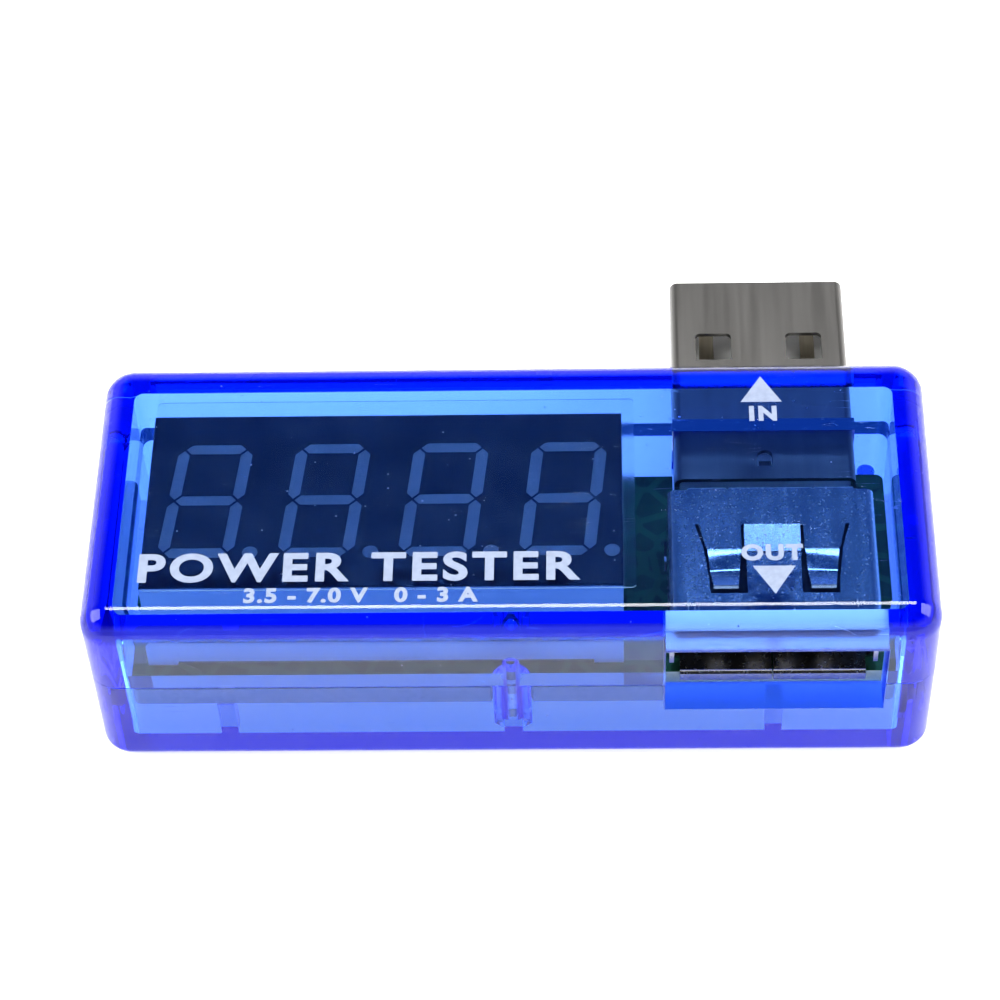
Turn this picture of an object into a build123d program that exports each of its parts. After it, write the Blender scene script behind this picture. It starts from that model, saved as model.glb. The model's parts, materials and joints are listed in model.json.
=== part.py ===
from build123d import *
import math
import os

os.makedirs("parts", exist_ok=True)

# case, millimetres; origin at the centre of the underside, socket towards -Y, plug towards +Y
BODY_L = 54.2
BODY_W = 21.9
BODY_H = 14.7
CORNER_R = 2.0
TOP_FILLET = 1.9
BOTTOM_FILLET = 1.15
WALL = 2.1
LID = 1.6
FLOOR = 1.6
PARTING_Z = 8.2
SEAM_GAP = 0.05

# USB ports share one axis
PORT_X = 16.75
MOUTH_X = (9.8, 23.75)
MOUTH_Z = (5.46, 11.8)

PLUG_W = 12.0
PLUG_T = 4.5
PLUG_Z = 4.03
PLUG_REAR_Y = 4.85
PLUG_TIP_Y = 22.95
SHEET = 0.3
LATCH_W = 2.45
LATCH_L = 2.35
LATCH_X = 3.1
LATCH_FROM_TIP = 4.8
PLUG_TONGUE_TOP = PLUG_Z + 2.25
PLUG_TONGUE_Y = 12.8
PLUG_BEND_Y = 5.6

SOCKET_W = 13.3
SOCKET_Z = (6.5, 12.2)
SOCKET_Y = (-8.8, 1.1)
TONGUE_Z = (9.4, 11.24)
TONGUE_TIP_Y = -8.1
TONGUE_W = 11.1
SPRING_X = 3.08
SLIT_Y = -1.7
SPRING_ROOT_Y = -3.6
SPRING_TIP_Y = -6.6
SPRING_DIP = 0.42
ROOT_GAP = 0.04
LIP_W = 11.9
LIP_NOTCH = (1.1, 1.1)
FLAP_W = 10.7
FLAP_MID_W = 5.5
FLAP_LOW_Z = 10.3
WINDOW_W = 4.0
WINDOW_Y = (-3.97, -1.66)
LEG_BELOW_BOARD = 0.7
LEG_HALF_W = 0.9

# contacts shared by plug and socket: centre lines from the port's axis, strip thickness and widths
CONTACT_X = (-3.5, -1.0, 1.0, 3.5)
CONTACT_NAMES = ("vbus", "data_minus", "data_plus", "ground")
CONTACT_T = 0.2
PLUG_CONTACT_W = 1.0
LEAF_W = 0.9
LEAF_TOP = 9.86
LEAF_ROOT_Y = -1.3
TAIL_Y = (1.3, 1.5)
MOULD_GAP = 0.03
MOULD_R = 0.4

# board
PCB_X = (-24.6, 24.7)
PCB_Y = (-8.75, 6.7)
PCB_TOP = 6.5
PCB_T = 1.6
PCB_UNDER = PCB_TOP - PCB_T
HOLE_CUT = (0, 20)

# display
DISP_X = (-23.55, 7.2)
DISP_Y = (-6.85, 7.14)
DISP_FACE_Z = 12.75
DISP_FOOT = 0.4
DIGIT_PITCH = 7.7
DIGIT_X0 = -19.7
DIGIT_Y = 0.1
GLYPH_H = 9.2
GLYPH_W = 4.9
STROKE = 0.78
SLANT = 5.5
DOT_R = 0.5
DISP_FOOT_L = 1.9
DISP_WALL = 0.8
SUBSTRATE_Z = (8.3, 9.3)
EPOXY_LOW_Z = 7.3
DISP_PIN_R = 0.25
DISP_PIN_PITCH = 2.54

BOSS_Y = -9.3
BOSS_R = 1.3
PIN_R = 0.7
PIN_FIT = 0.05
PIN_TOP = 9.6
POST_X = 23.65
POST_Y = 7.45
POST_TOP = 5.9
POST_R = 0.6
RIB_HALF_W = 0.55
RIB_FRONT_X = (-18.6, 16.9)
RIB_BACK_X = (-18.6, 2.0)
EMBED = 0.2


def block(x, y, z):
    """A box from three (low, high) pairs."""
    return Pos((x[0] + x[1]) / 2, (y[0] + y[1]) / 2, (z[0] + z[1]) / 2) * Box(
        x[1] - x[0], y[1] - y[0], z[1] - z[0]
    )


def rod(x, y, z, r):
    """A vertical cylinder between two heights."""
    return Pos(x, y, (z[0] + z[1]) / 2) * Cylinder(r, z[1] - z[0])


def lengthwise(points, x, width):
    """A strip of a given width whose side view is the outline through (y, z) points."""
    side = make_face(Polyline(*points, close=True))
    return Pos(x, 0, 0) * extrude(Plane.YZ * side, width / 2, both=True)


def save(shape, name):
    export_step(shape, "parts/" + name + ".step")


# ---------------------------------------------------------------- case
def case_block():
    body = Pos(0, 0, BODY_H / 2) * Box(BODY_L, BODY_W, BODY_H)
    body = fillet(body.edges().filter_by(Axis.Z), CORNER_R)
    body = fillet(body.edges().group_by(Axis.Z)[-1], TOP_FILLET)
    return fillet(body.edges().group_by(Axis.Z)[0], BOTTOM_FILLET)


def case_cavity():
    half_x = BODY_L / 2 - WALL
    half_y = BODY_W / 2 - WALL
    room = block((-half_x, half_x), (-half_y, half_y), (FLOOR, BODY_H - LID))
    return fillet(room.edges().filter_by(Axis.Z), 0.6)


def case_openings():
    front = -BODY_W / 2
    back = BODY_W / 2
    mouth = block(MOUTH_X, (front - 1, front + WALL + 0.01), MOUTH_Z)
    plug_x = (PORT_X - PLUG_W / 2 - 0.1, PORT_X + PLUG_W / 2 + 0.1)
    plug_z = (PLUG_Z - 0.1, PLUG_Z + PLUG_T + 0.1)
    return [mouth, block(plug_x, (back - WALL - 0.01, back + 1), plug_z)]


def upper_shell():
    keep = block((-40, 40), (-40, 40), (PARTING_Z + SEAM_GAP / 2, 40))
    shell = case_block() - case_cavity()
    for hole in case_openings():
        shell -= hole
    shell = shell & keep
    shell += rod(0, BOSS_Y, (4.0, PIN_TOP), PIN_R)
    return shell


def lower_shell():
    keep = block((-40, 40), (-40, 40), (-1, PARTING_Z - SEAM_GAP / 2))
    inner_front = -BODY_W / 2 + WALL
    inner_back = BODY_W / 2 - WALL
    under_board = PCB_UNDER - 0.02
    shell = case_block() - case_cavity()
    for hole in case_openings():
        shell -= hole
    shell = shell & keep
    boss = rod(0, BOSS_Y, (2.6, PARTING_Z - SEAM_GAP / 2), BOSS_R)
    boss += Pos(0, BOSS_Y, 2.25) * Cone(0.6, BOSS_R, 0.7)
    boss += block((-0.6, 0.6), (BOSS_Y, BOSS_Y + BOSS_R), (FLOOR - EMBED, 2.6))
    shell += boss
    shell += rod(POST_X, POST_Y, (FLOOR - EMBED, POST_TOP), POST_R)
    rib_z = (FLOOR - EMBED, under_board)
    for x in RIB_FRONT_X:
        shell += block((x - RIB_HALF_W, x + RIB_HALF_W), (inner_front - EMBED, inner_front + 1.1), rib_z)
    for x in RIB_BACK_X:
        shell += block((x - RIB_HALF_W, x + RIB_HALF_W), (PCB_Y[1] - 1.2, inner_back + EMBED), rib_z)
    shell -= rod(0, BOSS_Y, (3.7, 12.0), PIN_R + PIN_FIT)
    return shell


# ---------------------------------------------------------------- plug
def tube(x0, size, z0, y, radius, end_r=0.0):
    """A folded rectangular tube along Y, with the outside of its far end rounded if asked."""
    width, height = size
    length = y[1] - y[0]
    inner_size = (width - 2 * SHEET, height - 2 * SHEET)
    outer = Rot(90, 0, 0) * extrude(RectangleRounded(width, height, radius), length)
    if end_r:
        outer = fillet(outer.edges().group_by(Axis.Y)[-1], end_r)
    inner = Rot(90, 0, 0) * extrude(RectangleRounded(*inner_size, max(radius - SHEET, 0.1)), length + 1)
    place = Pos(x0, y[1], z0 + height / 2)
    return place * outer - place * Pos(0, 0.5, 0) * inner


def plug_shell():
    top = PLUG_Z + PLUG_T
    shell = tube(PORT_X, (PLUG_W, PLUG_T), PLUG_Z, (PLUG_REAR_Y, PLUG_TIP_Y), 0.55, 0.2)
    y_far = PLUG_TIP_Y - LATCH_FROM_TIP
    for side in (-1, 1):
        x = PORT_X + side * LATCH_X
        window = block((x - LATCH_W / 2, x + LATCH_W / 2), (y_far - LATCH_L, y_far), (0, 20))
        shell -= fillet(window.edges().filter_by(Axis.Z).group_by(Axis.Y)[-1], 0.35)
    shell -= rod(PORT_X, 6.75, (top - 1, top + 1), 0.5)
    shell -= block((PORT_X - 0.5, PORT_X + 0.5), (5.95, 6.75), (top - 1, top + 1))
    lance = [(5.85, top), (6.6, top - 0.35), (6.55, top - 0.55), (5.85, top - SHEET)]
    shell += lengthwise(lance, PORT_X, 0.8)
    seam = block((PORT_X - 0.03, PORT_X + 0.03), (PLUG_REAR_Y - 1, PLUG_TIP_Y + 1), (PLUG_Z - 1, PLUG_Z + 1))
    return shell - seam


def plug_contacts():
    strips = []
    bend = (PLUG_BEND_Y - CONTACT_T, PLUG_BEND_Y)
    foot_z = (PCB_TOP + 0.02, PCB_TOP + 0.02 + CONTACT_T)
    for x in CONTACT_X:
        tip = 21.75 if abs(x) > 2 else 20.75
        cx = PORT_X + x
        edge = (cx - PLUG_CONTACT_W / 2, cx + PLUG_CONTACT_W / 2)
        strip = block(edge, (PLUG_BEND_Y, tip), (PLUG_TONGUE_TOP - CONTACT_T, PLUG_TONGUE_TOP))
        strip += block(edge, bend, (PLUG_TONGUE_TOP - CONTACT_T, foot_z[1]))
        strip += block(edge, (3.1, PLUG_BEND_Y), foot_z)
        strips.append(strip)
    return strips


def plug_insulator(contacts):
    half = PLUG_W / 2 - SHEET - MOULD_GAP
    wide = (PORT_X - half, PORT_X + half)
    low = PLUG_Z + SHEET + MOULD_GAP
    high = PLUG_Z + PLUG_T - SHEET - MOULD_GAP
    body = block(wide, (PLUG_REAR_Y + 0.15, PLUG_TONGUE_Y + 0.1), (low, high))
    body = fillet(body.edges().filter_by(Axis.Y), MOULD_R)
    body -= block((PORT_X - 0.6, PORT_X + 0.6), (5.8, 7.4), (high - 0.4, high + 1))
    tongue = block(wide, (PLUG_TONGUE_Y, PLUG_TIP_Y - 0.5), (low, PLUG_TONGUE_TOP))
    tongue = fillet(tongue.edges().filter_by(Axis.Y).group_by(Axis.Z)[0], MOULD_R)
    body += chamfer(tongue.edges().group_by(Axis.Y)[-1], 0.2)
    for strip in contacts:
        body -= strip
    return body


# ---------------------------------------------------------------- socket
def spring(x, side):
    """Sprung tongue of the top plate: flat root, bump into the socket, raised tip, narrowing to its tip."""
    top = SOCKET_Z[1]
    low = top - SHEET
    root = SPRING_ROOT_Y - ROOT_GAP
    line = [
        (root, top),
        (-4.25, top - 0.03),
        (-4.95, top - SPRING_DIP),
        (-5.35, top - SPRING_DIP),
        (SPRING_TIP_Y, top + 0.1),
        (SPRING_TIP_Y - 0.06, low + 0.08),
        (-5.45, low - SPRING_DIP),
        (-4.85, low - SPRING_DIP),
        (-4.2, low - 0.03),
        (root, low),
    ]
    plan = [(-side * 1.05, root), (side * 1.12, root), (side * 0.75, -7.0), (-side * 0.75, -7.0)]
    outline = extrude(make_face(Polyline(*plan, close=True)), 20)
    return lengthwise(line, x, 3.0) & Pos(x, 0, 0) * outline


def spring_opening(x, side):
    """Window round the spring's free end and the narrow slit that runs on past its root."""
    plan = [
        (side * 1.62, SLIT_Y),
        (side * 1.86, SLIT_Y),
        (side * 1.34, SPRING_ROOT_Y),
        (side * 1.06, -6.0),
        (side * 1.0, -7.15),
        (-side * 1.35, -7.15),
        (-side * 1.35, -4.3),
        (-side * 1.15, SPRING_ROOT_Y),
        (side * 1.2, SPRING_ROOT_Y),
    ]
    outline = make_face(Polyline(*plan, close=True))
    return Pos(x, 0, SOCKET_Z[1] - 0.6) * extrude(outline, 2)


def socket_lip():
    """Flared front edge of the bottom plate: slopes down over the board's edge, then hangs in front of it."""
    low = SOCKET_Z[0]
    line = [
        (-8.2, low + SHEET),
        (-8.55, low + SHEET),
        (-8.95, low),
        (-9.05, low - 0.52),
        (-8.8, low - 0.55),
        (-8.78, low),
        (-8.2, low),
    ]
    return lengthwise(line, PORT_X, LIP_W)


def socket_flap():
    """Rear end of the top plate folded down in three tongues, the middle one standing proud."""
    top = SOCKET_Z[1]
    wide = (PORT_X - FLAP_W / 2, PORT_X + FLAP_W / 2)
    flap = block(wide, (SOCKET_Y[1] - 0.3, SOCKET_Y[1] + SHEET), (FLAP_LOW_Z, top))
    flap = fillet(flap.edges().filter_by(Axis.X).group_by(Axis.Y)[-1].group_by(Axis.Z)[-1], 0.28)
    flap -= block((PORT_X - 6.3, PORT_X + 6.3), (-1, SOCKET_Y[1] + 0.001), (6, top - SHEET))
    for side in (-1, 1):
        x = PORT_X + side * FLAP_MID_W / 2
        flap -= block((x - 0.08, x + 0.08), (SOCKET_Y[1] + 0.05, SOCKET_Y[1] + 1), (6, top + 1))
        outer = tuple(sorted((x, x + side * 3)))
        flap -= block(outer, (SOCKET_Y[1] + SHEET - 0.08, SOCKET_Y[1] + 1), (6, top + 1))
    return flap


def socket_shell():
    low, high = SOCKET_Z
    shell = tube(PORT_X, (SOCKET_W, high - low), low, SOCKET_Y, 0.6)
    for side in (-1, 1):
        shell -= spring_opening(PORT_X + side * SPRING_X, side)
        edge = PORT_X + side * (SOCKET_W / 2 - SHEET / 2)
        shell -= block((edge - 0.4, edge + 0.4), (-6.2, -4.0), (7.9, 10.8))
        leg_x = tuple(sorted((PORT_X + side * SOCKET_W / 2, PORT_X + side * (SOCKET_W / 2 - SHEET))))
        leg_z = (PCB_UNDER - LEG_BELOW_BOARD, low + 1.4)
        shell += block(leg_x, (-LEG_HALF_W, LEG_HALF_W), leg_z)
        corner_x = tuple(sorted((PORT_X + side * LIP_W / 2, PORT_X + side * 9)))
        corner_y = (SOCKET_Y[0] - 1, SOCKET_Y[0] + LIP_NOTCH[0])
        shell -= block(corner_x, corner_y, (low - 1, low + LIP_NOTCH[1]))
    window = block((PORT_X - WINDOW_W / 2, PORT_X + WINDOW_W / 2), WINDOW_Y, (high - 0.5, high + 1))
    shell -= fillet(window.edges().filter_by(Axis.Z), 0.3)
    tab = [(-1.5, high), (-3.5, high - 0.5), (-3.5, high - 0.75), (-1.5, high - SHEET)]
    shell += lengthwise(tab, PORT_X, 3.6)
    shell += socket_flap()
    shell += socket_lip()
    seam = block((PORT_X - 0.04, PORT_X + 0.04), (-12, 4), (low - 1, low + 1))
    return shell - seam


def leaf(x):
    """Moving part of one contact: slopes down to its bump, then curls up into the tongue."""
    low = LEAF_TOP - CONTACT_T
    line = [
        (LEAF_ROOT_Y - ROOT_GAP, LEAF_TOP),
        (-2.0, LEAF_TOP),
        (-6.0, 9.1),
        (-6.5, 9.1),
        (-7.5, 9.75),
        (-7.62, 9.58),
        (-6.6, 8.9),
        (-5.95, 8.9),
        (-2.0, low),
        (LEAF_ROOT_Y - ROOT_GAP, low),
    ]
    return lengthwise(line, PORT_X + x, LEAF_W)


def socket_tails():
    tails = []
    for x in CONTACT_X:
        cx = PORT_X + x
        edge = (cx - LEAF_W / 2, cx + LEAF_W / 2)
        tail = block(edge, (LEAF_ROOT_Y, TAIL_Y[1]), (LEAF_TOP - CONTACT_T, LEAF_TOP))
        tail += block(edge, TAIL_Y, (PCB_UNDER - LEG_BELOW_BOARD, LEAF_TOP))
        tails.append(tail)
    return tails


def socket_insulator(tails):
    half = SOCKET_W / 2 - SHEET - MOULD_GAP
    low = SOCKET_Z[0] + SHEET + MOULD_GAP
    high = SOCKET_Z[1] - SHEET - MOULD_GAP
    body = block((PORT_X - half, PORT_X + half), (-0.9, SOCKET_Y[1] - 0.05), (low, high))
    body = fillet(body.edges().filter_by(Axis.Y), MOULD_R)
    tongue = block((PORT_X - TONGUE_W / 2, PORT_X + TONGUE_W / 2), (TONGUE_TIP_Y, -0.8), TONGUE_Z)
    body += chamfer(tongue.edges().group_by(Axis.Y)[0], 0.25)
    groove = LEAF_W / 2 + 0.15
    for x in CONTACT_X:
        cx = PORT_X + x
        body -= block((cx - groove, cx + groove), (-7.8, -0.9), (9.0, 10.45))
    for tail in tails:
        body -= tail
    return body


# ---------------------------------------------------------------- board
def pin_places():
    cx = (DISP_X[0] + DISP_X[1]) / 2
    cy = (DISP_Y[0] + DISP_Y[1]) / 2
    return [(cx + (i - 2.5) * DISP_PIN_PITCH, cy + row * 2 * DISP_PIN_PITCH) for row in (-1, 1) for i in range(6)]


def main_board():
    board = block(PCB_X, PCB_Y, (PCB_UNDER, PCB_TOP))
    board = fillet(board.edges().filter_by(Axis.Z), 0.5)
    boss_clear = BOSS_R + 0.2
    board -= rod(0, BOSS_Y, HOLE_CUT, boss_clear)
    board -= block((-boss_clear, boss_clear), (PCB_Y[0] - 1, BOSS_Y), HOLE_CUT)
    half = PLUG_W / 2 + 0.12
    board -= block((PORT_X - half, PORT_X + half), (PLUG_REAR_Y - 0.05, PCB_Y[1] + 1), HOLE_CUT)
    for x, y in pin_places():
        board -= rod(x, y, HOLE_CUT, 0.4)
    for side in (-1, 1):
        x = PORT_X + side * (SOCKET_W / 2 - SHEET / 2)
        board -= block((x - SHEET, x + SHEET), (-LEG_HALF_W - 0.3, LEG_HALF_W + 0.3), HOLE_CUT)
    for x in CONTACT_X:
        board -= rod(PORT_X + x, 1.4, HOLE_CUT, 0.55)
    return board


# ---------------------------------------------------------------- display
def stroke_outline(x1, y1, x2, y2):
    """A bar between two points with a point at each end, sheared by the slant."""
    dx = x2 - x1
    dy = y2 - y1
    length = math.hypot(dx, dy)
    ux = dx / length
    uy = dy / length
    h = STROKE / 2
    g = 0.09
    lean = math.tan(math.radians(SLANT))
    raw = [(g, 0), (h + g, h), (length - h - g, h), (length - g, 0), (length - h - g, -h), (h + g, -h)]
    out = []
    for a, b in raw:
        px = x1 + a * ux - b * uy
        py = y1 + a * uy + b * ux
        out.append((px + py * lean, py))
    return out


def glyph_outlines():
    w = (GLYPH_W - STROKE) / 2
    h = (GLYPH_H - STROKE) / 2
    bars = [(-w, h, w, h), (-w, 0, w, 0), (-w, -h, w, -h)]
    bars += [(s * w, y, s * w, y + h) for s in (-1, 1) for y in (-h, 0)]
    return [stroke_outline(*bar) for bar in bars]


def wells(z):
    """Prisms of every segment and point between two heights, with their centres."""
    solids = []
    for digit in range(4):
        cx = DIGIT_X0 + digit * DIGIT_PITCH
        for outline in glyph_outlines():
            face = make_face(Polyline(*outline, close=True))
            mid_x = sum(p[0] for p in outline) / len(outline)
            mid_y = sum(p[1] for p in outline) / len(outline)
            solid = Pos(cx, DIGIT_Y, z[0]) * extrude(face, z[1] - z[0])
            solids.append((solid, cx + mid_x, DIGIT_Y + mid_y))
        dot_x = cx + 3.1
        dot_y = DIGIT_Y - 4.2
        solids.append((rod(dot_x, dot_y, z, DOT_R), dot_x, dot_y))
    return solids


def display_housing():
    body = block(DISP_X, DISP_Y, (PCB_TOP + DISP_FOOT, DISP_FACE_Z))
    body = fillet(body.edges().group_by(Axis.Z)[-1], 0.15)
    wide = (DISP_X[0] + DISP_WALL, DISP_X[1] - DISP_WALL)
    deep = (DISP_Y[0] + DISP_WALL, DISP_Y[1] - DISP_WALL)
    body -= block(wide, deep, (0, SUBSTRATE_Z[1]))
    for ix in (0, 1):
        for iy in (0, 1):
            x0 = DISP_X[0] if ix == 0 else DISP_X[1] - DISP_FOOT_L
            y0 = DISP_Y[0] if iy == 0 else DISP_Y[1] - DISP_WALL
            body += block((x0, x0 + DISP_FOOT_L), (y0, y0 + DISP_WALL), (PCB_TOP, PCB_TOP + DISP_FOOT))
    for solid, _, _ in wells((SUBSTRATE_Z[1] - 0.1, DISP_FACE_Z + 0.1)):
        body -= solid
    return body


def led_chips():
    chips = []
    for _, x, y in wells((0, 1)):
        chips.append(block((x - 0.15, x + 0.15), (y - 0.15, y + 0.15), (SUBSTRATE_Z[1], SUBSTRATE_Z[1] + 0.2)))
    return chips


def display_segments(chips):
    lenses = wells((SUBSTRATE_Z[1], DISP_FACE_Z - 0.03))
    return [lens - chip for (lens, _, _), chip in zip(lenses, chips)]


def display_substrate():
    board = block((DISP_X[0] + 0.9, DISP_X[1] - 0.9), (DISP_Y[0] + 0.9, DISP_Y[1] - 0.9), SUBSTRATE_Z)
    for x, y in pin_places():
        board -= rod(x, y, HOLE_CUT, DISP_PIN_R)
    return board


def display_epoxy():
    wide = (DISP_X[0] + DISP_WALL, DISP_X[1] - DISP_WALL)
    deep = (DISP_Y[0] + DISP_WALL, DISP_Y[1] - DISP_WALL)
    fill = block(wide, deep, (EPOXY_LOW_Z, SUBSTRATE_Z[0]))
    for x, y in pin_places():
        fill -= rod(x, y, HOLE_CUT, DISP_PIN_R)
    return fill


def display_pins():
    return [rod(x, y, (3.7, SUBSTRATE_Z[1]), DISP_PIN_R) for x, y in pin_places()]


def display_film():
    film = block((DISP_X[0] + 0.15, 8.0), (-7.1, 8.24), (DISP_FACE_Z + 0.02, DISP_FACE_Z + 0.1))
    return fillet(film.edges().filter_by(Axis.Z), 0.3)


# ---------------------------------------------------------------- small parts under the board
def chip_package(x, y, length, width, height, pitch, per_side):
    """A gull-wing package hanging under the board: body and its leads."""
    top = PCB_UNDER - 0.1
    body = block((x - length / 2, x + length / 2), (y - width / 2, y + width / 2), (top - height, top))
    body = chamfer(body.edges().group_by(Axis.Z)[0], 0.2)
    mid = top - height / 2
    leads = []
    for side in (-1, 1):
        for i in range(per_side):
            lx = x + (i - (per_side - 1) / 2) * pitch
            inner = y + side * width / 2
            knee = inner + side * 0.45
            toe = knee + side * 0.6
            span = (lx - pitch * 0.16, lx + pitch * 0.16)
            lead = block(span, tuple(sorted((inner, knee))), (mid - 0.08, mid + 0.08))
            lead += block(span, tuple(sorted((knee - side * 0.15, knee))), (mid - 0.08, PCB_UNDER))
            lead += block(span, tuple(sorted((knee - side * 0.15, toe))), (PCB_UNDER - 0.15, PCB_UNDER))
            leads.append(lead)
    return body, leads


def chip_component(x, y, length, width, height, along_x):
    """A two-ended chip component under the board: body and its two end caps."""
    cap = length * 0.2
    dx = length if along_x else width
    dy = width if along_x else length
    z = (PCB_UNDER - height, PCB_UNDER)
    body_x = (x - dx / 2 + cap, x + dx / 2 - cap) if along_x else (x - dx / 2, x + dx / 2)
    body_y = (y - dy / 2, y + dy / 2) if along_x else (y - dy / 2 + cap, y + dy / 2 - cap)
    ends = []
    for side in (-1, 1):
        if along_x:
            span = tuple(sorted((x + side * dx / 2, x + side * (dx / 2 - cap))))
            ends.append(block(span, (y - dy / 2, y + dy / 2), z))
        else:
            span = tuple(sorted((y + side * dy / 2, y + side * (dy / 2 - cap))))
            ends.append(block((x - dx / 2, x + dx / 2), span, z))
    return block(body_x, body_y, z), ends


def fillet_cone(x, y, r):
    return Pos(x, y, PCB_UNDER - 0.4) * Cone(0.32, r, 0.8)


def solder_joints():
    joints = []
    for x, y in pin_places():
        joints.append(fillet_cone(x, y, 0.85) - rod(x, y, HOLE_CUT, DISP_PIN_R))
    for x in CONTACT_X:
        cx = PORT_X + x
        cut = block((cx - 0.45, cx + 0.45), (1.3, 1.5), (0, 20))
        joints.append(fillet_cone(cx, 1.4, 0.8) - cut)
    return joints


def main():
    save(upper_shell(), "upper_shell")
    save(lower_shell(), "lower_shell")
    save(main_board(), "main_board")

    contacts = plug_contacts()
    save(plug_shell(), "plug_shell")
    save(Compound(contacts), "plug_contacts")
    save(plug_insulator(contacts), "plug_insulator")

    tails = socket_tails()
    save(socket_shell(), "socket_shell")
    save(Compound(tails), "socket_tails")
    save(socket_insulator(tails), "socket_insulator")
    save(spring(PORT_X - SPRING_X, -1), "socket_spring_left")
    save(spring(PORT_X + SPRING_X, 1), "socket_spring_right")
    for name, x in zip(CONTACT_NAMES, CONTACT_X):
        save(leaf(x), "contact_" + name)

    chips = led_chips()
    save(display_housing(), "display_housing")
    save(Compound(display_segments(chips)), "display_segments")
    save(Compound(chips), "display_leds")
    save(display_substrate(), "display_substrate")
    save(display_epoxy(), "display_epoxy")
    save(Compound(display_pins()), "display_pins")
    save(display_film(), "display_film")

    packages = {
        "microcontroller": (-12.0, 0.1, 7.2, 4.4, 1.1, 0.65, 10),
        "amplifier": (2.6, -1.0, 4.9, 3.9, 1.4, 1.27, 4),
        "voltage_regulator": (9.0, 4.0, 2.9, 1.6, 1.0, 0.95, 3),
    }
    for name, values in packages.items():
        body, leads = chip_package(*values)
        save(body, name)
        save(Compound(leads), name + "_leads")

    caps = []
    body, ends = chip_component(16.75, -5.6, 6.4, 3.2, 0.6, True)
    save(body, "shunt_resistor")
    caps += ends
    capacitors = []
    for x, y in ((9.3, 0.4), (7.2, -4.4), (-19.6, 1.6), (-1.4, 2.9)):
        body, ends = chip_component(x, y, 1.6, 0.8, 0.8, True)
        capacitors.append(body)
        caps += ends
    resistors = []
    for i in range(8):
        body, ends = chip_component(-15.6 + i * 1.8, -7.2 if i != 7 else -6.9, 1.6, 0.8, 0.45, False)
        resistors.append(body)
        caps += ends
    for x, y in ((9.6, -2.4), (9.6, -4.2), (2.2, 2.9), (5.2, 2.9)):
        body, ends = chip_component(x, y, 1.6, 0.8, 0.45, True)
        resistors.append(body)
        caps += ends
    save(Compound(capacitors), "ceramic_capacitors")
    save(Compound(resistors), "chip_resistors")
    save(Compound(caps), "chip_end_caps")
    save(Compound(solder_joints()), "solder_joints")


main()
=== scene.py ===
import json
import math
import bmesh
import bpy
import numpy as np
from mathutils import Matrix, Vector


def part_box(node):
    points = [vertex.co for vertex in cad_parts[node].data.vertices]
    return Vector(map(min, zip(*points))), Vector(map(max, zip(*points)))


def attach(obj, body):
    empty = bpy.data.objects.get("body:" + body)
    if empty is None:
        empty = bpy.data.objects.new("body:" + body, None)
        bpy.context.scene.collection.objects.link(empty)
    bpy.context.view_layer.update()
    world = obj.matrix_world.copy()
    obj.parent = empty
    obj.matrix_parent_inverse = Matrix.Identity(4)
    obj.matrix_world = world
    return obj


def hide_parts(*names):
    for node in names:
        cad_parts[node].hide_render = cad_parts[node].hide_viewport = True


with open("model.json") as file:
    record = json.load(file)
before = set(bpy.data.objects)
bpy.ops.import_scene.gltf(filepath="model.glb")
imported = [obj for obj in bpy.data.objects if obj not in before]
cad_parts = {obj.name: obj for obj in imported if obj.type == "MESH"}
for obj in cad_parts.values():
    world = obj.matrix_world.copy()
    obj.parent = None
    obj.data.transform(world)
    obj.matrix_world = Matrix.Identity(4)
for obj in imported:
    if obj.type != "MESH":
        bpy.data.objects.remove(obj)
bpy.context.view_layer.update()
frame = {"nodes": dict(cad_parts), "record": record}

MM = 0.001
CASE_LOW, CASE_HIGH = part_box("lower_shell")[0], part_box("upper_shell")[1]
LID_Z = CASE_HIGH.z
PORT_X = (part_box("plug_shell")[0].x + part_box("plug_shell")[1].x) / 2
FACE_LOW, FACE_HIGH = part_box("display_housing")
SOCKET_LOW, SOCKET_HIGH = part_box("socket_insulator")
FLOOR_GAP = 0.1 * MM
INK_T = 0.016 * MM
INK_LIFT = 0.002 * MM
PAINT_DEPTH = 0.12 * MM
OPENING_HALF = 7.05 * MM
ROOF_DEPTH = 2.0 * MM

# Light is followed for at most four reflections or twelve steps; a path past these counts is on its last.
LAST_REFLECTION = 3.5
LAST_STEP = 11.5
TRAPPED_LIGHT = (0.35, 0.42, 0.40)
MIXED_LIGHT = (0.05, 0.16, 0.34)
ROOM_LIGHT = (1.0, 1.0, 1.0)
CEILING_LIGHT = (0.012, 0.012, 0.012)


# ------------------------------------------------------------------ camera, floor, light
def make_camera():
    """A long lens looking down on the socket's side, turned a little towards the display."""
    lens_to_sensor = 3.1
    look_down = 52.21
    heading = math.radians(2.99)
    tilt = math.radians(90 - look_down)
    roll = math.radians(-2.84)
    data = bpy.data.cameras.new("camera")
    data.sensor_width = 36.0
    data.lens = lens_to_sensor * data.sensor_width
    data.clip_start = 0.01
    cam = bpy.data.objects.new("camera", data)
    bpy.context.scene.collection.objects.link(cam)
    turn = Matrix.Rotation(heading, 4, "Z") @ Matrix.Rotation(tilt, 4, "X") @ Matrix.Rotation(roll, 4, "Z")
    cam.matrix_world = Matrix.Translation((0.0057, -0.1222, 0.1712)) @ turn
    bpy.context.scene.camera = cam


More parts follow.
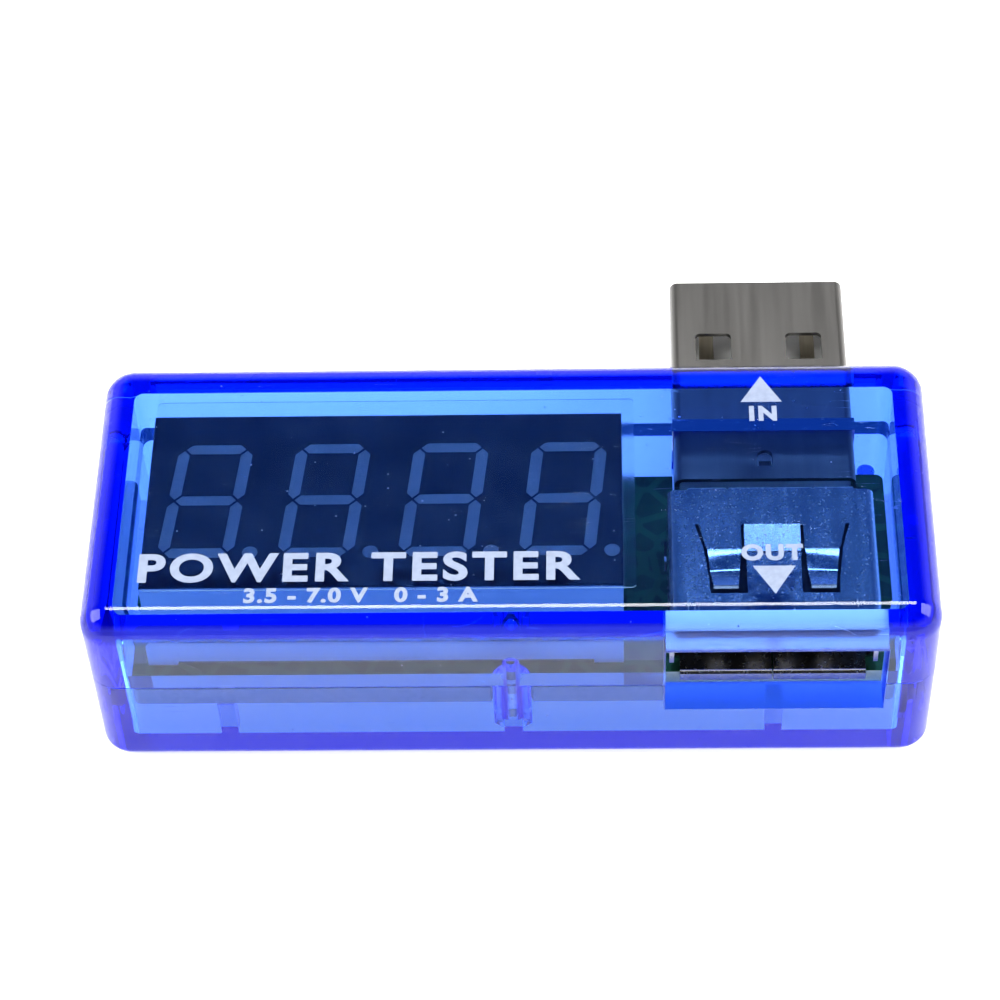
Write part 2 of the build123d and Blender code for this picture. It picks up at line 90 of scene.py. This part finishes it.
def make_floor():
    """A flat sheet of lit pale card, wide enough to fill the view from any side, a hair below the case."""
    half = 1.5
    mesh = bpy.data.meshes.new("floor")
    corners = [(x * half, y * half, -FLOOR_GAP) for x, y in ((-1, -1), (1, -1), (1, 1), (-1, 1))]
    mesh.from_pydata(corners, [], [(0, 1, 2, 3)])
    floor = bpy.data.objects.new("floor", mesh)
    bpy.context.scene.collection.objects.link(floor)
    material, tree, shader = new_material("pale_card")
    clouds = place_group(tree, EFFECTS["clouds"], Scale=900.0)
    pale = two_colours(tree, clouds["Cloud"], (0.93, 0.93, 0.93), (0.95, 0.95, 0.95))
    tree.links.new(pale, shader.inputs["Base Color"])
    shader.inputs["Roughness"].default_value = 0.9
    shader.inputs["Specular IOR Level"].default_value = 0.2
    shader.inputs["Emission Color"].default_value = (1, 1, 1, 1)
    shader.inputs["Emission Strength"].default_value = 0.6
    mesh.materials.append(material)


def make_light():
    """
    A pale room whose ceiling is dark to anything that mirrors it, two soft boxes and a strip overhead.
    Light that has gone through the case is mixed and coloured by its walls, so there the ceiling is blue.
    """
    world = bpy.data.worlds.new("studio")
    bpy.context.scene.world = world
    world.use_nodes = True
    tree = world.node_tree
    split = add(tree, "ShaderNodeSeparateXYZ")
    tree.links.new(add(tree, "ShaderNodeTexCoord").outputs["Generated"], split.inputs["Vector"])
    inside = step(tree, add(tree, "ShaderNodeLightPath").outputs["Transmission Depth"], 0.5)
    wall_top, ceiling_edge = 0.35, 0.66
    ceiling = two_colours(tree, inside, CEILING_LIGHT, MIXED_LIGHT)
    room = two_colours(tree, split.outputs["Z"], ROOM_LIGHT, ceiling, (wall_top, ceiling_edge))
    tree.links.new(room, tree.nodes["Background"].inputs["Color"])
    boxes = [
        ("left_box", (-0.6, 0.0, 0.5), 0.5, 0.5, 4.2),
        ("right_box", (0.6, 0.0, 0.5), 0.5, 0.5, 4.2),
        ("top_strip", (0.0, 0.28, 0.85), 0.5, 0.2, 4.5),
    ]
    for name, place, wide, deep, watts in boxes:
        data = bpy.data.lights.new(name, "AREA")
        data.shape = "RECTANGLE"
        data.size = wide
        data.size_y = deep
        data.energy = watts
        lamp = bpy.data.objects.new(name, data)
        lamp.location = place
        lamp.rotation_euler = (-Vector(place)).to_track_quat("-Z", "Y").to_euler()
        bpy.context.scene.collection.objects.link(lamp)


# ------------------------------------------------------------------ node helpers
def new_material(name):
    """A material with just its shader; gives the material, its node tree and the shader."""
    material = bpy.data.materials.new(name)
    material.use_nodes = True
    return material, material.node_tree, material.node_tree.nodes["Principled BSDF"]


def add(tree, kind, **values):
    """A node with some of its inputs set."""
    node = tree.nodes.new(kind)
    for key, value in values.items():
        node.inputs[key.replace("_", " ")].default_value = value
    return node


def math_node(tree, operation, *values):
    """A sum of one or two values, each a number or another node's output."""
    node = tree.nodes.new("ShaderNodeMath")
    node.operation = operation
    for socket, value in zip(node.inputs, values):
        if isinstance(value, (int, float)):
            socket.default_value = value
        else:
            tree.links.new(value, socket)
    return node.outputs[0]


def step(tree, value, edge):
    """One where a value is over an edge, else nought."""
    return math_node(tree, "GREATER_THAN", value, edge)


def remap(tree, mask, low, high, span=(0.0, 1.0)):
    """Stretches a mask from one span of values to another."""
    node = add(tree, "ShaderNodeMapRange", From_Min=span[0], From_Max=span[1], To_Min=low, To_Max=high)
    tree.links.new(mask, node.inputs["Value"])
    return node.outputs["Result"]


def two_colours(tree, mask, low, high, span=(0.0, 1.0)):
    """Mixes two colours by a mask between two of its values; a colour may be another node's output."""
    mix = tree.nodes.new("ShaderNodeMix")
    mix.data_type = "RGBA"
    tree.links.new(remap(tree, mask, 0.0, 1.0, span), mix.inputs["Factor"])
    for label, colour in (("A", low), ("B", high)):
        socket = next(one for one in mix.inputs if one.name == label and one.type == "RGBA")
        if isinstance(colour, tuple):
            socket.default_value = (*colour, 1)
        else:
            tree.links.new(colour, socket)
    return next(one for one in mix.outputs if one.type == "RGBA")


def bump(tree, shader, height, strength, distance):
    """Gives a finish relief from a mask of heights."""
    node = add(tree, "ShaderNodeBump", Strength=strength, Distance=distance)
    tree.links.new(height, node.inputs["Height"])
    tree.links.new(node.outputs["Normal"], shader.inputs["Normal"])


# ------------------------------------------------------------------ effects shared by materials
def effect_group(name, inputs, outputs):
    """An empty node group with number sockets; gives the group and its input and output nodes."""
    group = bpy.data.node_groups.new(name, "ShaderNodeTree")
    for label, value in inputs.items():
        group.interface.new_socket(label, in_out="INPUT", socket_type="NodeSocketFloat").default_value = value
    for label in outputs:
        group.interface.new_socket(label, in_out="OUTPUT", socket_type="NodeSocketFloat")
    return group, group.nodes.new("NodeGroupInput"), group.nodes.new("NodeGroupOutput")


def object_noise(tree, scale, detail=3.0, stretch=(1.0, 1.0, 1.0)):
    """Cloudy noise in object space, its scale a number or an output, drawn out along some axes."""
    coords = add(tree, "ShaderNodeTexCoord").outputs["Object"]
    mapping = add(tree, "ShaderNodeMapping", Scale=stretch)
    tree.links.new(coords, mapping.inputs["Vector"])
    node = add(tree, "ShaderNodeTexNoise", Detail=detail)
    tree.links.new(mapping.outputs["Vector"], node.inputs["Vector"])
    if isinstance(scale, (int, float)):
        node.inputs["Scale"].default_value = scale
    else:
        tree.links.new(scale, node.inputs["Scale"])
    return node.outputs["Fac"]


def make_clouds():
    """Cloud tints a finish, Uneven varies its gloss, Grain is its fine relief."""
    group, given, result = effect_group("clouds", {"Scale": 1000.0}, ("Cloud", "Uneven", "Grain"))
    scale = given.outputs["Scale"]
    group.links.new(object_noise(group, scale), result.inputs["Cloud"])
    group.links.new(object_noise(group, math_node(group, "MULTIPLY", scale, 3.1)), result.inputs["Uneven"])
    group.links.new(object_noise(group, math_node(group, "MULTIPLY", scale, 8.0)), result.inputs["Grain"])
    return group


def make_rolling():
    """Lines left along Y by rolling and drawing, broken up, and small pits between them."""
    group, given, result = effect_group("rolling", {"Scale": 1500.0}, ("Line", "Pit"))
    scale = given.outputs["Scale"]
    group.links.new(object_noise(group, scale, 4.0, (1.0, 0.06, 1.0)), result.inputs["Line"])
    fine = object_noise(group, math_node(group, "MULTIPLY", scale, 3.0), 2.0)
    group.links.new(remap(group, fine, 0.0, 1.0, (0.55, 0.75)), result.inputs["Pit"])
    return group


def make_dust():
    """
    Speck is one in small round spots: near the middle of some cells of a random division of space.
    Scratch is one along thin threads: where a noise drawn out one way crosses its middle value.
    """
    group, given, result = effect_group("dust", {"Scale": 900.0, "Spot": 0.08}, ("Speck", "Scratch"))
    bare_cells = 0.55
    thread_half_width = 0.0025
    bare_patches = 0.60
    cells = add(group, "ShaderNodeTexVoronoi")
    group.links.new(add(group, "ShaderNodeTexCoord").outputs["Object"], cells.inputs["Vector"])
    group.links.new(given.outputs["Scale"], cells.inputs["Scale"])
    chance = add(group, "ShaderNodeSeparateColor")
    group.links.new(cells.outputs["Color"], chance.inputs["Color"])
    size = math_node(group, "MULTIPLY", chance.outputs["Red"], given.outputs["Spot"])
    near = math_node(group, "LESS_THAN", cells.outputs["Distance"], size)
    few = step(group, chance.outputs["Green"], bare_cells)
    group.links.new(math_node(group, "MULTIPLY", near, few), result.inputs["Speck"])
    threads = object_noise(group, 260.0, 1.0, (0.35, 3.0, 1.0))
    off = math_node(group, "ABSOLUTE", math_node(group, "SUBTRACT", threads, 0.5))
    thin = math_node(group, "LESS_THAN", off, thread_half_width)
    patches = step(group, object_noise(group, 420.0, 2.0), bare_patches)
    group.links.new(math_node(group, "MULTIPLY", thin, patches), result.inputs["Scratch"])
    return group


def place_group(tree, group, **values):
    """One use of an effect in a material, with its own values."""
    node = tree.nodes.new("ShaderNodeGroup")
    node.node_tree = group
    for label, value in values.items():
        node.inputs[label].default_value = value
    return node.outputs


# ------------------------------------------------------------------ finishes
def solid(name, low, high, roughness, scale, metal=0.0, relief=0.0):
    """A finish with cloudy colour, uneven gloss and a fine grain."""
    material, tree, shader = new_material(name)
    clouds = place_group(tree, EFFECTS["clouds"], Scale=scale)
    tree.links.new(two_colours(tree, clouds["Cloud"], low, high, (0.3, 0.7)), shader.inputs["Base Color"])
    tree.links.new(remap(tree, clouds["Uneven"], *roughness), shader.inputs["Roughness"])
    shader.inputs["Metallic"].default_value = metal
    if relief:
        bump(tree, shader, clouds["Grain"], relief, 0.02 * MM)
    return material


def sheet_metal(name, low, high, roughness, scale, relief):
    """Plated sheet: colour and gloss follow the rolling lines, and pits are dull."""
    material, tree, shader = new_material(name)
    rolling = place_group(tree, EFFECTS["rolling"], Scale=scale)
    tree.links.new(two_colours(tree, rolling["Line"], low, high, (0.35, 0.65)), shader.inputs["Base Color"])
    gloss = remap(tree, rolling["Line"], *roughness, (0.3, 0.7))
    pit_haze = 0.05
    dull = math_node(tree, "MULTIPLY", rolling["Pit"], pit_haze)
    tree.links.new(math_node(tree, "ADD", gloss, dull), shader.inputs["Roughness"])
    shader.inputs["Metallic"].default_value = 1.0
    bump(tree, shader, rolling["Line"], relief, 0.01 * MM)
    return material


def inside_box(tree, low, high):
    """One inside a box given by two corners in object space, else nought."""
    split = add(tree, "ShaderNodeSeparateXYZ")
    tree.links.new(add(tree, "ShaderNodeTexCoord").outputs["Object"], split.inputs["Vector"])
    inside = None
    for axis, least, most in zip("XYZ", low, high):
        over = step(tree, split.outputs[axis], least)
        under = math_node(tree, "LESS_THAN", split.outputs[axis], most)
        both = math_node(tree, "MULTIPLY", over, under)
        inside = both if inside is None else math_node(tree, "MULTIPLY", inside, both)
    return inside


def clear(name, ior, haze, speck_haze):
    """
    A clear finish, hazy in clouds, with dust specks and thin scratches. Light that is still trapped between
    its surfaces at the end of a path is given a dim glow, where it would otherwise end in black.
    """
    material, tree, shader = new_material(name)
    shader.inputs["Base Color"].default_value = (1, 1, 1, 1)
    shader.inputs["Transmission Weight"].default_value = 1.0
    shader.inputs["IOR"].default_value = ior
    clouds = place_group(tree, EFFECTS["clouds"], Scale=400.0)
    dust = place_group(tree, EFFECTS["dust"])
    scratch_share = 0.25
    scratches = math_node(tree, "MULTIPLY", dust["Scratch"], scratch_share)
    marks = math_node(tree, "MAXIMUM", dust["Speck"], scratches)
    rough = math_node(tree, "MULTIPLY", marks, speck_haze)
    rough = math_node(tree, "MAXIMUM", rough, remap(tree, clouds["Cloud"], *haze))
    tree.links.new(rough, shader.inputs["Roughness"])
    bump(tree, shader, marks, 0.5, 0.01 * MM)
    path = add(tree, "ShaderNodeLightPath")
    trapped = step(tree, path.outputs["Glossy Depth"], LAST_REFLECTION)
    last = math_node(tree, "MAXIMUM", trapped, step(tree, path.outputs["Ray Depth"], LAST_STEP))
    glow = two_colours(tree, last, (0.0, 0.0, 0.0), TRAPPED_LIGHT)
    tree.links.new(glow, shader.inputs["Emission Color"])
    shader.inputs["Emission Strength"].default_value = 1.0
    return material, tree, shader


def case_plastic():
    """
    Clear plastic that takes out red first, then green, the further light goes through it.
    The opening for the socket is frosted inside, and the plastic over its roof is dimmed and blued as painted
    shade.
    """
    material, tree, shader = clear("case_blue", 1.49, (0.0, 0.03), 0.8)
    low = (PORT_X - OPENING_HALF, CASE_LOW.y - 1.0 * MM, SOCKET_LOW.z - 1.4 * MM)
    high = (PORT_X + OPENING_HALF, SOCKET_LOW.y, SOCKET_HIGH.z)
    frost_haze = 0.4
    frost = math_node(tree, "MULTIPLY", inside_box(tree, low, high), frost_haze)
    polished = shader.inputs["Roughness"].links[0].from_socket
    tree.links.new(math_node(tree, "MAXIMUM", polished, frost), shader.inputs["Roughness"])
    # painted shade: the plastic over the roof of the socket opening is dimmed and blued, standing in for less
    # light there
    roof = inside_box(tree, (*low[:2], SOCKET_HIGH.z - ROOF_DEPTH), high)
    painted_roof_shade = two_colours(tree, roof, (1.0, 1.0, 1.0), (0.70, 0.78, 0.95))
    tree.links.new(painted_roof_shade, shader.inputs["Base Color"])
    absorb = add(tree, "ShaderNodeVolumeAbsorption", Density=520.0)
    absorb.inputs["Color"].default_value = (0.0, 0.43, 0.97, 1)
    tree.links.new(absorb.outputs["Volume"], tree.nodes["Material Output"].inputs["Volume"])
    return material


def display_paint():
    """White moulding with cloudy blue-black paint on its face and just below it."""
    material, tree, shader = new_material("display_black")
    clouds = place_group(tree, EFFECTS["clouds"], Scale=1200.0)
    split = add(tree, "ShaderNodeSeparateXYZ")
    tree.links.new(add(tree, "ShaderNodeTexCoord").outputs["Object"], split.inputs["Vector"])
    above = step(tree, split.outputs["Z"], FACE_HIGH.z - PAINT_DEPTH)
    paint = two_colours(tree, clouds["Cloud"], (0.004, 0.014, 0.028), (0.007, 0.020, 0.038), (0.3, 0.7))
    tree.links.new(two_colours(tree, above, (0.85, 0.85, 0.84), paint), shader.inputs["Base Color"])
    tree.links.new(remap(tree, clouds["Uneven"], 0.35, 0.5), shader.inputs["Roughness"])
    bump(tree, shader, clouds["Grain"], 0.1, 0.01 * MM)
    return material


def circuit_board():
    """Green solder mask over faint tracks; the cut sides are pale glass laminate."""
    material, tree, shader = new_material("board_green")
    clouds = place_group(tree, EFFECTS["clouds"], Scale=900.0)
    cells = add(tree, "ShaderNodeTexVoronoi", Scale=520.0)
    cells.feature = "DISTANCE_TO_EDGE"
    tree.links.new(add(tree, "ShaderNodeTexCoord").outputs["Object"], cells.inputs["Vector"])
    tracks = math_node(tree, "LESS_THAN", cells.outputs["Distance"], 0.12)
    mask = two_colours(tree, clouds["Cloud"], (0.012, 0.085, 0.026), (0.018, 0.11, 0.036), (0.3, 0.7))
    mask = two_colours(tree, tracks, mask, (0.028, 0.15, 0.050))
    laminate = two_colours(tree, clouds["Uneven"], (0.32, 0.42, 0.40), (0.42, 0.50, 0.48), (0.3, 0.7))
    split = add(tree, "ShaderNodeSeparateXYZ")
    tree.links.new(add(tree, "ShaderNodeNewGeometry").outputs["Normal"], split.inputs["Vector"])
    sides = math_node(tree, "LESS_THAN", math_node(tree, "ABSOLUTE", split.outputs["Z"]), 0.5)
    tree.links.new(two_colours(tree, sides, mask, laminate), shader.inputs["Base Color"])
    tree.links.new(remap(tree, clouds["Uneven"], 0.3, 0.5), shader.inputs["Roughness"])
    bump(tree, shader, tracks, 0.3, 0.03 * MM)
    return material


def make_finishes():
    """Every finish by the name of its slot; the draft materials that came with the frame step aside."""
    for old in list(bpy.data.materials):
        old.name = "draft_" + old.name
    made = {
        "case_blue": case_plastic(),
        "display_black": display_paint(),
        "clear_film": clear("clear_film", 1.4, (0.05, 0.25), 0.6)[0],
        "board_green": circuit_board(),
    }
    metals = {
        "nickel_steel": ((0.185, 0.181, 0.175), (0.20, 0.196, 0.19), (0.33, 0.37), 1800, 0.005),
        "bright_steel": ((0.46, 0.46, 0.45), (0.50, 0.50, 0.49), (0.23, 0.27), 1500, 0.004),
        "gold": ((0.34, 0.31, 0.25), (0.42, 0.39, 0.32), (0.3, 0.4), 2600, 0.02),
    }
    plain = {
        "insulator_white": ((0.90, 0.90, 0.88), (0.94, 0.94, 0.92), (0.4, 0.6), 1500),
        "insulator_black": ((0.012, 0.012, 0.012), (0.025, 0.025, 0.025), (0.4, 0.6), 1500, 0.0, 0.2),
        "display_window": ((0.40, 0.42, 0.42), (0.46, 0.47, 0.47), (0.4, 0.6), 3000),
        "led_chip": ((0.70, 0.66, 0.40), (0.80, 0.74, 0.5), (0.3, 0.5), 5000),
        "potting": ((0.60, 0.58, 0.50), (0.68, 0.66, 0.58), (0.3, 0.6), 800, 0.0, 0.3),
        "tinned_wire": ((0.62, 0.62, 0.60), (0.72, 0.72, 0.70), (0.2, 0.4), 3000, 1.0, 0.1),
        "package_black": ((0.012, 0.012, 0.013), (0.03, 0.03, 0.03), (0.5, 0.7), 4000, 0.0, 0.4),
        "capacitor_tan": ((0.35, 0.22, 0.12), (0.45, 0.30, 0.18), (0.4, 0.6), 4000, 0.0, 0.2),
        "solder": ((0.55, 0.55, 0.55), (0.70, 0.70, 0.70), (0.1, 0.35), 2500, 1.0, 0.3),
        # painted shade: the lid's white ink is given a dim blue-grey, as it looks in the dim light over the
        # lid
        "legend_ink": ((0.28, 0.33, 0.46), (0.33, 0.39, 0.53), (0.5, 0.7), 2500, 0.0, 0.3),
    }
    for name, values in metals.items():
        made[name] = sheet_metal(name, *values)
    for name, values in plain.items():
        made[name] = solid(name, *values)
    return made


def dress_nodes():
    """Gives each CAD node the finish of its slot."""
    for part in frame["record"]["subparts"]:
        mesh = frame["nodes"][part["node"]].data
        mesh.materials.clear()
        mesh.materials.append(FINISHES[part["material_slot"]])


# ------------------------------------------------------------------ pieces
def show(name, mesh, body, finish):
    """Links a finished mesh as a piece that rides on a body."""
    piece = bpy.data.objects.new(name, mesh)
    bpy.context.scene.collection.objects.link(piece)
    mesh.materials.clear()
    mesh.materials.append(FINISHES[finish])
    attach(piece, body)
    return piece


def smooth_copy(node, body, angle=35.0):
    """The node's shape as one joined surface, shaded smooth across its rounded edges."""
    finish = next(part["material_slot"] for part in frame["record"]["subparts"] if part["node"] == node)
    mesh = frame["nodes"][node].data.copy()
    mesh.name = node + "_skin"
    work = bmesh.new()
    work.from_mesh(mesh)
    weld = 0.002 * MM
    bmesh.ops.remove_doubles(work, verts=work.verts, dist=weld)
    for face in work.faces:
        face.smooth = True
    for edge in work.edges:
        edge.smooth = edge.is_manifold and edge.calc_face_angle(0) < math.radians(angle)
    work.to_mesh(mesh)
    work.free()
    piece = show(node + "_skin", mesh, body, finish)
    piece.modifiers.new("even shading", "WEIGHTED_NORMAL").keep_sharp = True
    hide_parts(node)
    return piece


def print_mesh(text, low, high, thicken, spacing=1.0):
    """Flat lettering on the lid: a text outline, thickened a hair, then scaled to fill a rectangle."""
    curve = bpy.data.curves.new("lettering", "FONT")
    curve.body = text
    curve.size = MM
    curve.offset = thicken * MM
    curve.space_character = spacing
    curve.extrude = INK_T / 2
    curve.resolution_u = 6
    writing = bpy.data.objects.new("lettering", curve)
    bpy.context.scene.collection.objects.link(writing)
    bpy.context.view_layer.update()
    mesh = bpy.data.meshes.new_from_object(writing)
    bpy.data.objects.remove(writing)
    points = np.empty(len(mesh.vertices) * 3)
    mesh.vertices.foreach_get("co", points)
    points = points.reshape(-1, 3)
    flat = points[:, :2]
    least = flat.min(axis=0)
    low = np.array(low) * MM
    high = np.array(high) * MM
    points[:, :2] = low + (flat - least) * (high - low) / (flat.max(axis=0) - least)
    points[:, 2] += LID_Z + INK_LIFT + INK_T / 2
    mesh.vertices.foreach_set("co", points.ravel())
    mesh.update()
    return mesh


def arrow_mesh(tip, base_y, half_width):
    """A thin printed arrow head: a triangle from its tip to a level base, as a flat prism."""
    x, y = np.array(tip) * MM
    base = base_y * MM
    half = half_width * MM
    ring = np.array([(x - half, base), (x + half, base), (x, y)])
    if y < base:
        ring = ring[::-1]
    heights = np.repeat([LID_Z + INK_LIFT, LID_Z + INK_LIFT + INK_T], 3)
    points = np.column_stack([np.tile(ring, (2, 1)), heights])
    faces = [(2, 1, 0), (3, 4, 5)] + [(i, (i + 1) % 3, (i + 1) % 3 + 3, i + 3) for i in range(3)]
    mesh = bpy.data.meshes.new("arrow")
    mesh.from_pydata(points.tolist(), [], faces)
    mesh.update()
    return mesh


def make_legend():
    """Lettering and arrows printed on the lid, placed in millimetres from the port and the display."""
    port = PORT_X / MM
    left = FACE_LOW.x / MM
    lines = [
        ("legend_title", "POWER TESTER", (left + 0.15, -7.4), (left + 28.05, -5.1), 0.035, 1.2),
        ("legend_range", "3.5 - 7.0 V   0 - 3 A", (left + 6.95, -9.05), (left + 21.65, -7.85), 0.045, 1.15),
        ("legend_in", "IN", (port - 1.25, 5.3), (port + 0.55, 6.56), 0.055, 1.25),
        ("legend_out", "OUT", (port - 2.15, -6.0), (port + 1.75, -4.7), 0.055, 1.2),
    ]
    for name, text, low, high, thicken, spacing in lines:
        show(name, print_mesh(text, low, high, thicken, spacing), "meter", "legend_ink")
    arrows = [
        ("arrow_in", (port - 0.42, 9.07), 6.9),
        ("arrow_out", (port - 0.12, -8.57), -6.4),
    ]
    arrow_half_width = 1.35
    for name, tip, base_y in arrows:
        show(name, arrow_mesh(tip, base_y, arrow_half_width), "meter", "legend_ink")


# ------------------------------------------------------------------ build
EFFECTS = {"clouds": make_clouds(), "rolling": make_rolling(), "dust": make_dust()}
make_camera()
make_light()
FINISHES = make_finishes()
make_floor()
dress_nodes()
for shell in ("upper_shell", "lower_shell", "plug_shell", "socket_shell"):
    smooth_copy(shell, "meter")
for side in ("left", "right"):
    smooth_copy("socket_spring_" + side, "spring_" + side)
make_legend()
bpy.context.scene.view_settings.view_transform = "Standard"
bpy.context.scene.view_settings.look = "Medium High Contrast"
